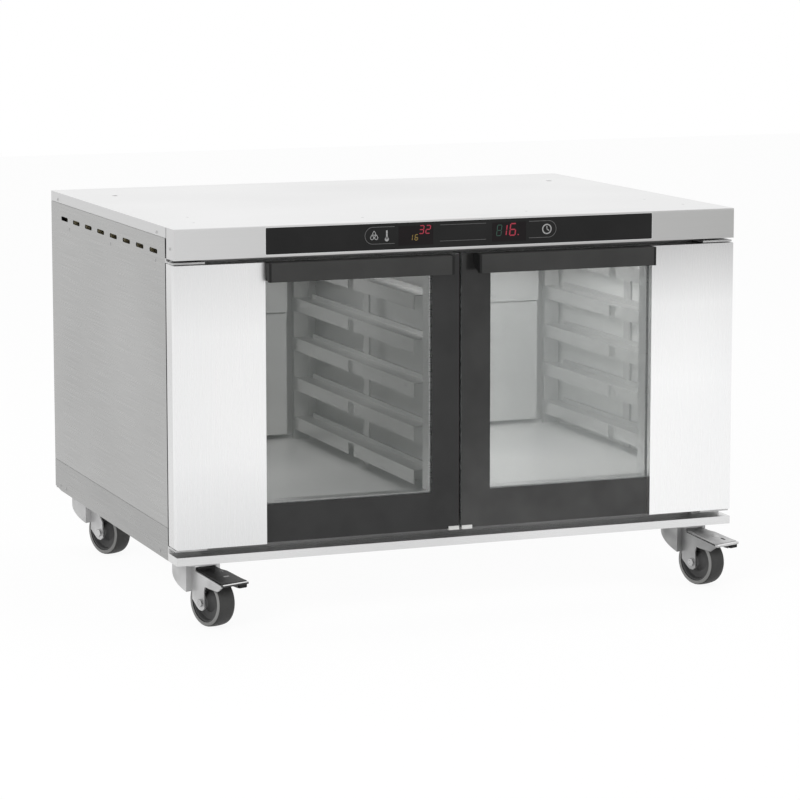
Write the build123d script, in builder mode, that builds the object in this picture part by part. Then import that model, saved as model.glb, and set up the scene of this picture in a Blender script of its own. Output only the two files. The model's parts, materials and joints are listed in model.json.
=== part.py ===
"""Proofing cabinet on casters: two glazed doors, four tray racks, a control fascia and swivel wheels.

Millimetres. X runs to the right, Y to the back and Z up; the floor is Z = 0 and the origin lies
under the middle of the footprint, brake pedals and cable gland included.
"""

from build123d import *
import math
import os

os.makedirs("parts", exist_ok=True)

# Cabinet
cabinet_width = 960.0
cabinet_depth = 728.0  # from the fascia's face to the rear panel's face
cabinet_height = 632.0  # from the floor to the lid's face
ground_clearance = 105.0  # from the floor to the underside of the base
pedal_reach = 38.4  # how far the brake pedals stand out in front of the fascia
gland_reach = 22.0  # how far the cable gland stands out behind the rear panel
front_zone = 47.0  # depth taken by the doors and the fascia box
sheet = 1.5
seam = 0.5  # visible joint between two outer sheets
fit_gap = 0.2  # clearance of a plate laid into its cut-out

# Base, skirts, lid
base_lip_height = 13.0
base_floor_lift = 3.0  # underside of the base floor above the lip's lower edge
skirt_height = 52.0
skirt_notch = (38.0, 4.0)  # length and height of the bevel at the skirt's rear foot
lid_flange_height = 17.5
fascia_height = 49.0
fascia_return = 39.5  # depth of the fascia's side faces
corner_slot = 2.5  # slit between the fascia's side face and the lid's flange
fascia_ledge = 14.0
lid_bend_radius = 3.0
locating_hole_radius = 5.0
locating_hole_inset = 74.0  # from the cabinet's side
locating_hole_setback = 584.0  # behind the fascia's face

# Louvres and vents
louvre_length = 42.0
louvre_height = 7.0
louvre_pitch = 76.0
louvre_count = 8
louvre_first = 109.0  # first louvre's middle behind the fascia's face
louvre_drop = 43.0  # louvre's middle below the lid's face
vent_length = 70.0
vent_height = 5.0
vent_rows = 6
vent_pitch = 12.0
vent_column_pitch = 96.0
vent_columns = 5

# Cavity
wall_thickness = 18.0  # outer face of the side panel to the cavity
liner_sheet = 1.2
floor_height = 72.0  # underside of the base to the cavity floor
roof_height = 70.0  # cavity ceiling to the lid's face
rear_insulation = 25.0
mullion_width = 48.0
frame_sheet = 2.0
slab_clearance = 1.0

# Tray racks
column_side_gap = 4.0  # outer upstand to the cavity's side
column_middle_gap = 60.0  # between the inner upstands of the two columns
shelf_width = 28.0
rail_sheet = 1.2
divider_sheet = 2.0
rail_lip = 23.0
rail_upstand = 8.0
top_rail_gap = 58.3  # highest shelf to the cavity ceiling
rail_count = 5
first_rail_height = 41.5  # lowest shelf above the cavity floor
rail_start = 68.0  # rail's front end behind the fascia's face
rail_end = 655.0
lip_notch = 26.0  # break in the lip at mid depth
strip_post = (25.0, 3.0)  # width along Y and thickness of the front and middle uprights
rear_post_depth = 12.0

# Air ducts, heaters, fans
duct_cover_inset = 39.0  # from the tray column's edge
duct_cover_gap = 9.0  # rear post's front face to the lower duct cover
duct_joint_drop = 156.0  # joint between the covers below the cavity ceiling
upper_cover_step = 5.0
duct_intake_radius = 48.0
fan_radius = 56.0
fan_blade_count = 7
fan_shaft_radius = 3.0
fan_hub_radius = 13.0
fan_tip_inset = 1.5  # blade tips inside the back disc's rim
fan_width = 16.0
fan_drop = 93.0  # fan axis below the cavity ceiling
fan_wall_gap = 5.0
motor_radius = 30.0
heater_tube_radius = 4.0
heater_loop_radius = 70.0

# Doors
door_thickness = 44.0
door_gap_top = 8.0
door_gap_bottom = 12.0
door_gap_centre = 4.4
door_side_inset = 0.5
glass_setback = 11.5  # glass face behind the steel cover's face
glass_thickness = 5.0
cover_width = 148.0
centre_border = 50.0
bottom_border = 63.0
top_border = 30.0
reveal_flange = 13.0
pivot_inset = 7.0  # hinge axis from the cabinet's side
pivot_to_rear = 12.0  # hinge axis from the door's rear face
pin_radius = 4.0
running_clearance = 0.05
pin_depth = 14.0
bracket_sheet = 3.0
bracket_width = 52.0
bracket_reach = 40.0
gasket_width = 10.0
gasket_thickness = 2.6
handle_inner_gap = 19.3  # between the door's inner edge and the handle
handle_height = 30.0
handle_proud = 16.5  # handle's face in front of the steel cover
handle_wall = 3.0
handle_cap = 4.0
handle_gap = 0.5  # between the handle and the steel cover
handle_corner = 5.0
clip_width = 18.0
clip_inset = 4.0
clip_lip = (2.5, 4.0)  # thickness and height of the lip in front of the glass

# Control panel
overlay_side_gap = 0.5  # overlay's end from the edge of the steel cover below
overlay_top_margin = 2.8
overlay_bottom_margin = 3.7
overlay_thickness = 2.5
overlay_corner = 2.0
lens_size = (58.0, 30.0)
lens_thickness = 1.0
lens_offsets = (-81.0, 79.0)
board_size = (300.0, 34.0)
board_thickness = 1.6
board_standoff = 12.0

# Casters
wheel_radius = 40.0
tread_width = 32.0
rim_radius = 32.0
hub_radius = 11.0
hub_length = 37.0
web_half = 4.0
caster_trail = 42.0  # wheel axle ahead of the kingpin
caster_headings = {"front": -70.5, "rear": -66.0}  # direction of the trail, degrees from +X
caster_side_inset = 52.0
caster_front_inset = 67.0
caster_rear_inset = 62.0
crown_radius = 38.0
fork_sheet = 2.5
fork_inner_half = 19.5
crown_top = 98.5
raceway_radius = 27.0
raceway_gap = 0.5
top_plate = (78.0, 92.0, 3.0)
plate_bolt_span = (58.0, 72.0)
plate_bolt_radius = 4.2
kingpin_radius = 6.0
kingpin_head_radius = 10.0
axle_radius = 4.0
axle_head = 6.5
axle_head_length = 4.5
crease_ahead = 18.0  # where the crown meets the side plates, ahead of the kingpin
arm_reach = 55.0  # brake arm's tip ahead of the axle
pedal_pin_radius = 1.6
pedal_pin_ahead = 4.0
pedal_pin_height = 82.0
pedal_sheet = 3.0
pedal_back_height = 91.5
pedal_tip_height = 77.0
pedal_half_width = 18.4
pedal_tip_half = 25.0
pedal_tip_length = 6.0
pedal_ear_radius = 4.0

# Screws
screw_radius = 3.0
screw_height = 1.2
lid_screw_point = 1.5  # radius of a countersunk head at its lower end
# share of the cabinet's width from its middle, and distance behind the fascia's face
lid_screws = ((-0.4208, 174.0), (-0.4375, 90.0), (-0.15, 72.0), (0.1458, 73.0), (0.4271, 194.0), (0.4479, 88.0))

# Derived places
half_width = cabinet_width / 2
front_y = -(cabinet_depth + gland_reach - pedal_reach) / 2
back_y = front_y + cabinet_depth
base_z = ground_clearance
lip_top_z = base_z + base_lip_height
base_floor_z = base_z + base_floor_lift
skirt_top_z = base_z + skirt_height
lid_z = cabinet_height
flange_bottom_z = lid_z - lid_flange_height
fascia_bottom_z = lid_z - fascia_height
door_bottom_z = lip_top_z + door_gap_bottom
door_top_z = fascia_bottom_z - door_gap_top
frame_y = front_y + front_zone
door_back_y = front_y + door_thickness
glass_y = front_y + glass_setback
glass_back_y = glass_y + glass_thickness
inner_x = half_width - sheet
cavity_x = half_width - wall_thickness
cavity_floor_z = base_z + floor_height
cavity_top_z = lid_z - roof_height
cavity_height = cavity_top_z - cavity_floor_z
column_width = cavity_x - column_side_gap - column_middle_gap / 2
column_offset = cavity_x - column_side_gap - column_width / 2
rail_pitch = (cavity_height - first_rail_height - top_rail_gap) / (rail_count - 1)
duct_cover_width = column_width - 2 * duct_cover_inset
locating_hole_span = cabinet_width - 2 * locating_hole_inset
cavity_front_y = frame_y + frame_sheet
cavity_back_y = back_y - sheet - rear_insulation - liner_sheet
door_outer_x = half_width - door_side_inset
door_inner_x = door_gap_centre / 2
cover_edge_x = half_width - cover_width
window_outer_x = cover_edge_x - 2.0
window_inner_x = door_inner_x + centre_border
window_bottom_z = door_bottom_z + bottom_border
window_top_z = door_top_z - top_border
pivot_x = half_width - pivot_inset
pivot_y = door_back_y - pivot_to_rear
rail_start_y = front_y + rail_start
rail_end_y = front_y + rail_end
rail_middle_y = (rail_start_y + rail_end_y) / 2
rear_post_back_y = rail_end_y + rear_post_depth
fan_z = cavity_top_z - fan_drop
overlay_width = 2 * (cover_edge_x - overlay_side_gap)
lid_screw_places = [(share * cabinet_width, front_y + setback) for share, setback in lid_screws]


def block(x, y, z, mode=Mode.ADD):
    """A cuboid between the low and high values of x, y and z."""
    with BuildSketch(Plane.XY.offset(z[0])) as footprint:
        with Locations(((x[0] + x[1]) / 2, (y[0] + y[1]) / 2)):
            Rectangle(x[1] - x[0], y[1] - y[0])
    extrude(footprint.sketch, amount=z[1] - z[0], mode=mode)


def span(side, near, far):
    """The x range between two distances from the middle, on the left (-1) or right (1)."""
    return sorted((side * near, side * far))


def save(part, name):
    """Labels a finished piece and writes it as parts/NAME.step."""
    part.label = name
    export_step(part, f"parts/{name}.step")


side_names = {-1: "left", 1: "right"}

# ---- Base and outer panels ----

with BuildPart() as base_tray:
    block((-half_width, half_width), (front_y, frame_y), (base_z, lip_top_z))
    block((-inner_x, inner_x), (front_y + sheet, frame_y), (base_z, base_floor_z), Mode.SUBTRACT)
    block(
        (-inner_x, inner_x),
        (front_y + sheet, frame_y),
        (base_floor_z + sheet, lip_top_z - sheet),
        Mode.SUBTRACT,
    )
    block((-inner_x, inner_x), (frame_y, back_y), (base_floor_z, base_floor_z + sheet))
    block((-inner_x, inner_x), (back_y - sheet, back_y), (base_z, lip_top_z))
save(base_tray.part, "base_tray")

for side, side_name in side_names.items():
    outer = span(side, inner_x, half_width)
    side_plane = Plane.YZ.offset(outer[0])

    with BuildPart() as skirt:
        with BuildSketch(side_plane):
            with BuildLine():
                Polyline(
                    (frame_y, base_z),
                    (back_y - skirt_notch[0], base_z),
                    (back_y, base_z + skirt_notch[1]),
                    (back_y, skirt_top_z),
                    (frame_y, skirt_top_z),
                    close=True,
                )
            make_face()
        extrude(amount=sheet)
    save(skirt.part, f"{side_name}_skirt")

    with BuildPart() as side_panel:
        block(outer, (frame_y, back_y), (skirt_top_z + seam, flange_bottom_z - seam))
        with BuildSketch(side_plane):
            for index in range(louvre_count):
                louvre_y = front_y + louvre_first + index * louvre_pitch
                with Locations((louvre_y, lid_z - louvre_drop)):
                    SlotOverall(louvre_length, louvre_height)
        extrude(amount=sheet, mode=Mode.SUBTRACT)
    save(side_panel.part, f"{side_name}_side_panel")

overlay_z = (fascia_bottom_z + overlay_bottom_margin, lid_z - overlay_top_margin)
overlay_middle_z = (overlay_z[0] + overlay_z[1]) / 2
overlay_height = overlay_z[1] - overlay_z[0]

with BuildPart() as top_cover:
    block((-half_width, half_width), (front_y, back_y), (fascia_bottom_z, lid_z))
    bend = top_cover.edges().filter_by(Axis.X).group_by(Axis.Y)[0].sort_by(Axis.Z)[-1]
    fillet(bend, radius=lid_bend_radius)
    block(
        (-inner_x, inner_x),
        (front_y + sheet, back_y - sheet),
        (fascia_bottom_z + sheet, lid_z - sheet),
        Mode.SUBTRACT,
    )
    block(
        (-inner_x, inner_x),
        (front_y + fascia_ledge, back_y - sheet),
        (fascia_bottom_z, fascia_bottom_z + sheet),
        Mode.SUBTRACT,
    )
    block(
        (-half_width, half_width),
        (front_y + fascia_return, back_y),
        (fascia_bottom_z, flange_bottom_z),
        Mode.SUBTRACT,
    )
    for side in side_names:
        block(
            span(side, inner_x, half_width),
            (front_y + fascia_return, front_y + fascia_return + corner_slot),
            (flange_bottom_z, lid_z - sheet),
            Mode.SUBTRACT,
        )
    with BuildSketch(Plane.XZ.offset(-front_y)):
        with Locations((0, overlay_middle_z)):
            RectangleRounded(overlay_width, overlay_height, overlay_corner)
    extrude(amount=-sheet, mode=Mode.SUBTRACT)
    with BuildSketch(Plane.XY.offset(lid_z)):
        with Locations((0, front_y + locating_hole_setback)):
            with GridLocations(locating_hole_span, 0, 2, 1):
                Circle(locating_hole_radius)
    extrude(amount=-sheet, mode=Mode.SUBTRACT)
    for screw_x, screw_y in lid_screw_places:
        with Locations((screw_x, screw_y, lid_z - sheet / 2)):
            Cone(bottom_radius=lid_screw_point, top_radius=screw_radius, height=sheet, mode=Mode.SUBTRACT)
save(top_cover.part, "top_cover")

gland_side_inset = 90.0
gland_x = half_width - gland_side_inset
gland_z = lip_top_z + 40.0
gland_thread_radius = 10.0
gland_bore_radius = 5.5
gland_nut_radius = 15.0

with BuildPart() as rear_panel:
    block((-inner_x + fit_gap, inner_x - fit_gap), (back_y - sheet, back_y), (lip_top_z, flange_bottom_z - seam))
    with BuildSketch(Plane.XZ.offset(-back_y)):
        with Locations((0, flange_bottom_z - seam - vent_rows * vent_pitch)):
            with GridLocations(vent_column_pitch, vent_pitch, vent_columns, vent_rows):
                SlotOverall(vent_length, vent_height)
        with Locations((gland_x, gland_z)):
            Circle(gland_thread_radius + fit_gap)
    extrude(amount=sheet, mode=Mode.SUBTRACT)
save(rear_panel.part, "rear_panel")

with BuildPart() as cable_gland:
    with BuildSketch(Plane.XZ.offset(-back_y)):
        with Locations((gland_x, gland_z)):
            RegularPolygon(gland_nut_radius, 6)
    extrude(amount=-gland_reach / 3)
    with BuildSketch(Plane.XZ.offset(-back_y)):
        with Locations((gland_x, gland_z)):
            Circle(gland_thread_radius)
    extrude(amount=-gland_reach)
    with BuildSketch(Plane.XZ.offset(-back_y)):
        with Locations((gland_x, gland_z)):
            Circle(gland_thread_radius)
    extrude(amount=gland_reach / 2)
    with BuildSketch(Plane.XZ.offset(-back_y + gland_reach / 2)):
        with Locations((gland_x, gland_z)):
            Circle(gland_bore_radius)
    extrude(amount=-gland_reach * 2, mode=Mode.SUBTRACT)
save(cable_gland.part, "cable_gland")

# ---- Front frame and cavity ----

frame_range_y = (frame_y, cavity_front_y)
mullion_half = mullion_width / 2

with BuildPart() as front_frame:
    block((-inner_x, inner_x), frame_range_y, (base_floor_z + sheet, cavity_floor_z))
    block((-inner_x, inner_x), frame_range_y, (cavity_top_z, lid_z - sheet))
    for side in side_names:
        block(span(side, cavity_x, inner_x), frame_range_y, (cavity_floor_z, cavity_top_z))
    block((-mullion_half, mullion_half), frame_range_y, (cavity_floor_z, cavity_top_z))
save(front_frame.part, "front_frame")

# Five flat sheets with a hair of weld seam between them
liner_y = (cavity_front_y, cavity_back_y + liner_sheet)
liner_x = cavity_x + liner_sheet

with BuildPart() as cavity_liner:
    block((-liner_x, liner_x), liner_y, (cavity_floor_z - liner_sheet, cavity_floor_z - fit_gap / 2))
    block((-liner_x, liner_x), liner_y, (cavity_top_z + fit_gap / 2, cavity_top_z + liner_sheet))
    for side in side_names:
        block(span(side, cavity_x, liner_x), liner_y, (cavity_floor_z, cavity_top_z))
    block(
        (-cavity_x + fit_gap, cavity_x - fit_gap),
        (cavity_back_y, liner_y[1]),
        (cavity_floor_z, cavity_top_z),
    )
    with BuildSketch(Plane.XZ.offset(-cavity_back_y)):
        with Locations((-column_offset, fan_z), (column_offset, fan_z)):
            Circle(fan_shaft_radius * 2)
    extrude(amount=-liner_sheet, mode=Mode.SUBTRACT)
save(cavity_liner.part, "cavity_liner")

with BuildPart() as column_divider:
    block(
        (-divider_sheet / 2, divider_sheet / 2),
        (cavity_front_y + fit_gap, cavity_back_y - fit_gap),
        (cavity_floor_z, cavity_top_z),
    )
save(column_divider.part, "column_divider")

slab_y = (cavity_front_y + slab_clearance, liner_y[1])
roof_slab = 32.0
floor_slab = 36.0

with BuildPart() as insulation:
    for side in side_names:
        block(
            span(side, liner_x + slab_clearance, inner_x - slab_clearance),
            slab_y,
            (cavity_floor_z, cavity_top_z),
        )
    block(
        (-liner_x, liner_x),
        slab_y,
        (cavity_top_z + liner_sheet, cavity_top_z + liner_sheet + roof_slab),
    )
    block(
        (-liner_x, liner_x),
        slab_y,
        (cavity_floor_z - liner_sheet - floor_slab, cavity_floor_z - liner_sheet),
    )
    block(
        (-liner_x, liner_x),
        (liner_y[1], back_y - sheet - slab_clearance),
        (cavity_floor_z, cavity_top_z),
    )
    with BuildSketch(Plane.XZ.offset(-liner_y[1])):
        with Locations((-column_offset, fan_z), (column_offset, fan_z)):
            Circle(motor_radius + slab_clearance)
    extrude(amount=-rear_insulation, mode=Mode.SUBTRACT)
    with BuildSketch(Plane.XZ.offset(-liner_y[1])):
        with Locations((gland_x, gland_z)):
            Circle(gland_thread_radius + slab_clearance)
    extrude(amount=-rear_insulation, mode=Mode.SUBTRACT)
save(insulation.part, "insulation")

# ---- Tray racks ----

column_half = column_width / 2
shelf_levels = [cavity_floor_z + first_rail_height + index * rail_pitch for index in range(rail_count)]

with BuildPart() as rack_frames:
    for column in side_names:
        for side in side_names:
            edge = column * column_offset + side * column_half
            outward = sorted((edge, edge + side * strip_post[1]))
            inward = sorted((edge, edge - side * rail_sheet))
            for post_y in (rail_start_y, rail_middle_y - strip_post[0] / 2):
                block(outward, (post_y, post_y + strip_post[0]), (cavity_floor_z, cavity_top_z - slab_clearance))
            for level in shelf_levels:
                block(inward, (rail_start_y, rail_end_y - strip_post[0]), (level, level + rail_upstand))
                block(outward, (rail_start_y, rail_end_y - strip_post[0]), (level, level + rail_upstand))
            block(
                sorted((edge, edge - side * shelf_width)),
                (rail_end_y, rear_post_back_y),
                (cavity_floor_z, cavity_top_z - slab_clearance),
            )
save(rack_frames.part, "rack_frames")

for column, side_name in side_names.items():
    with BuildPart() as tray_rails:
        for side in side_names:
            edge = column * column_offset + side * column_half
            lip = edge - side * shelf_width
            for level in shelf_levels:
                block(sorted((edge, lip)), (rail_start_y, rail_end_y), (level - rail_sheet, level))
                block(
                    sorted((lip, lip + side * rail_sheet)),
                    (rail_start_y, rail_end_y),
                    (level - rail_lip, level),
                )
                block(
                    sorted((lip, lip + side * rail_sheet)),
                    (rail_middle_y - lip_notch / 2, rail_middle_y + lip_notch / 2),
                    (level - rail_lip, level - rail_sheet * 3),
                    Mode.SUBTRACT,
                )
    save(tray_rails.part, f"{side_name}_tray_rails")

# ---- Air ducts, heaters and fans ----

lower_cover_y = rail_end_y + duct_cover_gap
upper_cover_y = lower_cover_y - upper_cover_step
duct_joint_z = cavity_top_z - duct_joint_drop
duct_outlet = 8.0
ceiling_gap = 2.0
intake_hole_radius = 4.5
intake_rings = ((14.0, 6), (28.0, 12), (42.0, 18))

with BuildPart() as duct_covers:
    for column in side_names:
        middle = column * column_offset
        cover_x = (middle - duct_cover_width / 2, middle + duct_cover_width / 2)
        inside_x = (cover_x[0] + liner_sheet, cover_x[1] - liner_sheet)
        for cover_y, cover_z in (
            (lower_cover_y, (cavity_floor_z + duct_outlet, duct_joint_z - ceiling_gap)),
            (upper_cover_y, (duct_joint_z, cavity_top_z - ceiling_gap)),
        ):
            block(cover_x, (cover_y, cavity_back_y), cover_z)
            block(inside_x, (cover_y + liner_sheet, cavity_back_y), cover_z, Mode.SUBTRACT)
        with BuildSketch(Plane.XZ.offset(-upper_cover_y)):
            with Locations((middle, fan_z)):
                Circle(intake_hole_radius)
                for ring_radius, hole_count in intake_rings:
                    with PolarLocations(ring_radius, hole_count):
                        Circle(intake_hole_radius)
        extrude(amount=-liner_sheet, mode=Mode.SUBTRACT)
save(duct_covers.part, "duct_covers")

fan_back_y = cavity_back_y - fan_wall_gap
fan_middle_y = fan_back_y - fan_width / 2
terminal_offset = 14.0
terminal_radius = 3.2
terminal_height = math.sqrt(heater_loop_radius**2 - terminal_offset**2)

with BuildPart() as heating_elements:
    for column in side_names:
        middle = column * column_offset
        loop_centre = Vector(middle, fan_middle_y, fan_z)
        with BuildSketch(Plane.XY.offset(fan_z)):
            with Locations((middle + heater_loop_radius, fan_middle_y)):
                Circle(heater_tube_radius)
        revolve(axis=Axis(loop_centre, (0, 1, 0)), revolution_arc=360)
        block(
            (middle - terminal_offset, middle + terminal_offset),
            (fan_middle_y - heater_tube_radius, fan_middle_y + heater_tube_radius),
            (fan_z - heater_loop_radius * 2, fan_z - terminal_height / 2),
            Mode.SUBTRACT,
        )
        with BuildSketch(Plane.XZ.offset(-cavity_back_y)):
            for side in side_names:
                with Locations((middle + side * (terminal_offset + 5.0), fan_z - terminal_height)):
                    Circle(terminal_radius)
        extrude(amount=cavity_back_y - fan_middle_y)
save(heating_elements.part, "heating_elements")

motor_bore = 12.0

with BuildPart() as fan_motors:
    for column in side_names:
        with BuildSketch(Plane.XZ.offset(-liner_y[1])):
            with Locations((column * column_offset, fan_z)):
                Circle(motor_radius)
        extrude(amount=-(rear_insulation - slab_clearance))
        with BuildSketch(Plane.XZ.offset(-liner_y[1])):
            with Locations((column * column_offset, fan_z)):
                Circle(fan_shaft_radius + running_clearance)
        extrude(amount=-(motor_bore + slab_clearance), mode=Mode.SUBTRACT)
save(fan_motors.part, "fan_motors")

for column, side_name in side_names.items():
    middle = column * column_offset
    with BuildPart() as fan:
        with BuildSketch(Plane.XZ.offset(-fan_back_y)):
            with Locations((middle, fan_z)):
                Circle(fan_radius)
        extrude(amount=liner_sheet)
        with BuildSketch(Plane.XZ.offset(-fan_back_y)):
            with Locations((middle, fan_z)):
                Circle(fan_hub_radius)
        extrude(amount=fan_width)
        with BuildSketch(Plane.XZ.offset(-fan_back_y)):
            with Locations((middle, fan_z)):
                with PolarLocations((fan_radius + fan_hub_radius) / 2 - fan_tip_inset, fan_blade_count):
                    Rectangle(fan_radius - fan_hub_radius, liner_sheet)
        extrude(amount=fan_width)
        with BuildSketch(Plane.XZ.offset(-fan_back_y)):
            with Locations((middle, fan_z)):
                Circle(fan_shaft_radius)
        extrude(amount=-(fan_wall_gap + liner_sheet + motor_bore))
    save(fan.part, f"{side_name}_fan")

# ---- Control panel ----

overlay_seat = 1.1  # rim of the overlay behind the fascia sheet
overlay_back_y = front_y + overlay_thickness
board_y = overlay_back_y + board_standoff
pillar_radius = 3.0

with BuildPart() as control_overlay:
    with BuildSketch(Plane.XZ.offset(-front_y)):
        with Locations((0, overlay_middle_z)):
            RectangleRounded(overlay_width - 2 * fit_gap, overlay_height - 2 * fit_gap, overlay_corner)
    extrude(amount=-overlay_thickness)
    with BuildSketch(Plane.XZ.offset(-front_y - sheet)):
        with Locations((0, overlay_middle_z)):
            RectangleRounded(
                overlay_width + 2 * overlay_seat, overlay_height + 2 * overlay_seat, overlay_corner
            )
    extrude(amount=-(overlay_thickness - sheet))
    with BuildSketch(Plane.XZ.offset(-front_y)):
        for lens_x in lens_offsets:
            with Locations((lens_x, overlay_middle_z)):
                Rectangle(lens_size[0] + 2 * fit_gap, lens_size[1] + 2 * fit_gap)
    extrude(amount=-lens_thickness, mode=Mode.SUBTRACT)
save(control_overlay.part, "control_overlay")

with BuildPart() as display_lenses:
    with BuildSketch(Plane.XZ.offset(-front_y)):
        for lens_x in lens_offsets:
            with Locations((lens_x, overlay_middle_z)):
                Rectangle(*lens_size)
    extrude(amount=-lens_thickness)
save(display_lenses.part, "display_lenses")

with BuildPart() as control_board:
    with BuildSketch(Plane.XZ.offset(-board_y)):
        with Locations((0, overlay_middle_z)):
            Rectangle(*board_size)
    extrude(amount=-board_thickness)
    with BuildSketch(Plane.XZ.offset(-board_y)):
        with Locations((0, overlay_middle_z)):
            with GridLocations(board_size[0] - 4 * pillar_radius, board_size[1] - 3 * pillar_radius, 2, 2):
                Circle(pillar_radius)
    extrude(amount=board_standoff)
    with BuildSketch(Plane.XZ.offset(-board_y)):
        for lens_x in lens_offsets:
            with Locations((lens_x, overlay_middle_z)):
                Rectangle(*lens_size)
    extrude(amount=board_standoff - fit_gap)
save(control_board.part, "control_board")

# ---- Doors and their hinge brackets ----

bracket_gap = 1.0  # between a door's edge and its hinge bracket, filled by the pin's collar
collar_radius = 6.5
washer_play = 0.1
bracket_foot = 6.0
pivot_half = 8.0
glass_tuck = 18.0  # how far the glass reaches under the steel cover
window_z = (window_bottom_z, window_top_z)
door_z = (door_bottom_z, door_top_z)

with BuildPart() as hinge_brackets:
    for side in side_names:
        bracket_x = span(side, half_width - bracket_width, half_width)
        for plate_z, foot_z in (
            (door_bottom_z - bracket_gap - bracket_sheet, lip_top_z),
            (door_top_z + bracket_gap, fascia_bottom_z),
        ):
            block(bracket_x, (frame_y - bracket_reach, frame_y), (plate_z, plate_z + bracket_sheet))
            block(bracket_x, (frame_y - bracket_foot, frame_y), sorted((plate_z + bracket_sheet / 2, foot_z)))
        with BuildSketch(Plane.XY.offset(lip_top_z)):
            with Locations((side * pivot_x, pivot_y)):
                Circle(pin_radius + running_clearance)
        extrude(amount=fascia_bottom_z - lip_top_z, mode=Mode.SUBTRACT)
save(hinge_brackets.part, "hinge_brackets")

for side, side_name in side_names.items():
    door_x = span(side, door_inner_x, door_outer_x)
    glass_x = span(side, door_inner_x, cover_edge_x + glass_tuck)
    window_x = span(side, window_inner_x, window_outer_x)
    window_middle = (sum(window_x) / 2, sum(window_z) / 2)
    window_size = (window_x[1] - window_x[0], window_z[1] - window_z[0])
    door_middle = (sum(door_x) / 2, sum(door_z) / 2)
    door_size = (door_x[1] - door_x[0], door_z[1] - door_z[0])

    with BuildPart() as door_frame:
        block(door_x, (glass_back_y, door_back_y), door_z)
        for hollow_y, rim in ((glass_back_y + sheet, sheet), (glass_back_y, reveal_flange)):
            with BuildSketch(Plane.XZ.offset(-hollow_y)):
                with Locations(door_middle):
                    Rectangle(door_size[0] - 2 * sheet, door_size[1] - 2 * sheet)
                with Locations(window_middle):
                    Rectangle(window_size[0] + 2 * rim, window_size[1] + 2 * rim, mode=Mode.SUBTRACT)
            extrude(amount=-(door_back_y - sheet - hollow_y), mode=Mode.SUBTRACT)
        for hinge_z in ((door_bottom_z, door_bottom_z + pin_depth), (door_top_z - pin_depth, door_top_z)):
            block(
                span(side, pivot_x - pivot_half, door_outer_x),
                (pivot_y - pivot_half, door_back_y),
                hinge_z,
            )
        block(window_x, (glass_back_y, door_back_y), window_z, Mode.SUBTRACT)
        with BuildSketch(Plane.XY.offset(door_bottom_z)):
            with Locations((side * pivot_x, pivot_y)):
                Circle(pin_radius)
        extrude(amount=door_top_z - door_bottom_z, mode=Mode.SUBTRACT)
    save(door_frame.part, f"{side_name}_door_frame")

    with BuildPart() as door_glass:
        block(glass_x, (glass_y, glass_back_y), door_z)
    save(door_glass.part, f"{side_name}_door_glass")

    with BuildPart() as door_cover:
        block(span(side, cover_edge_x, door_outer_x), (front_y, glass_back_y), door_z)
        block(
            span(side, cover_edge_x + sheet, door_outer_x - sheet),
            (front_y + sheet, glass_back_y),
            (door_bottom_z + sheet, door_top_z - sheet),
            Mode.SUBTRACT,
        )
        block(
            span(side, cover_edge_x, cover_edge_x + glass_tuck + fit_gap),
            (glass_y, glass_back_y),
            door_z,
            Mode.SUBTRACT,
        )
    save(door_cover.part, f"{side_name}_door_cover")

    with BuildPart() as hinge_pins:
        for edge_z, outward in ((door_bottom_z, -1), (door_top_z, 1)):
            with BuildSketch(Plane.XY.offset(edge_z - outward * pin_depth)):
                with Locations((side * pivot_x, pivot_y)):
                    Circle(pin_radius)
            extrude(amount=outward * (pin_depth + bracket_gap + bracket_sheet + pin_radius / 2))
            with BuildSketch(Plane.XY.offset(edge_z)):
                with Locations((side * pivot_x, pivot_y)):
                    Circle(collar_radius)
            extrude(amount=outward * (bracket_gap - washer_play))
    save(hinge_pins.part, f"{side_name}_hinge_pins")

    gasket_x = span(side, mullion_half - gasket_width - 4.0, cavity_x + gasket_width + 2.0)
    gasket_z = (cavity_floor_z - gasket_width - 4.0, cavity_top_z + gasket_width + 1.0)
    with BuildPart() as door_gasket:
        block(gasket_x, (door_back_y, door_back_y + gasket_thickness), gasket_z)
        block(
            (gasket_x[0] + gasket_width, gasket_x[1] - gasket_width),
            (door_back_y, door_back_y + gasket_thickness),
            (gasket_z[0] + gasket_width, gasket_z[1] - gasket_width),
            Mode.SUBTRACT,
        )
    save(door_gasket.part, f"{side_name}_door_gasket")

    handle_outer = cover_edge_x - handle_gap
    handle_inner = door_inner_x + handle_inner_gap
    handle_y = front_y - handle_proud
    with BuildPart() as door_handle:
        block(
            span(side, handle_inner + handle_cap, handle_outer - handle_cap),
            (handle_y, glass_y),
            (door_top_z - handle_height, door_top_z),
        )
        block(
            span(side, handle_inner + handle_cap, handle_outer - handle_cap),
            (handle_y + handle_wall, glass_y),
            (door_top_z - handle_height, door_top_z - handle_wall),
            Mode.SUBTRACT,
        )
        fillet(door_handle.edges().filter_by(Axis.X).group_by(Axis.Y)[0].sort_by(Axis.Z)[-1], radius=1.0)
    save(door_handle.part, f"{side_name}_door_handle")

    with BuildPart() as handle_caps:
        for cap_x in (handle_inner, handle_outer - handle_cap):
            with BuildSketch(Plane.YZ.offset(span(side, cap_x, cap_x + handle_cap)[0])):
                with BuildLine():
                    Polyline(
                        (glass_y, door_top_z - handle_height / 2),
                        (glass_y, door_top_z),
                        (handle_y, door_top_z),
                        (handle_y, door_top_z - handle_height),
                        (handle_y + handle_corner, door_top_z - handle_height),
                        close=True,
                    )
                make_face()
            extrude(amount=handle_cap)
    save(handle_caps.part, f"{side_name}_handle_caps")

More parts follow.
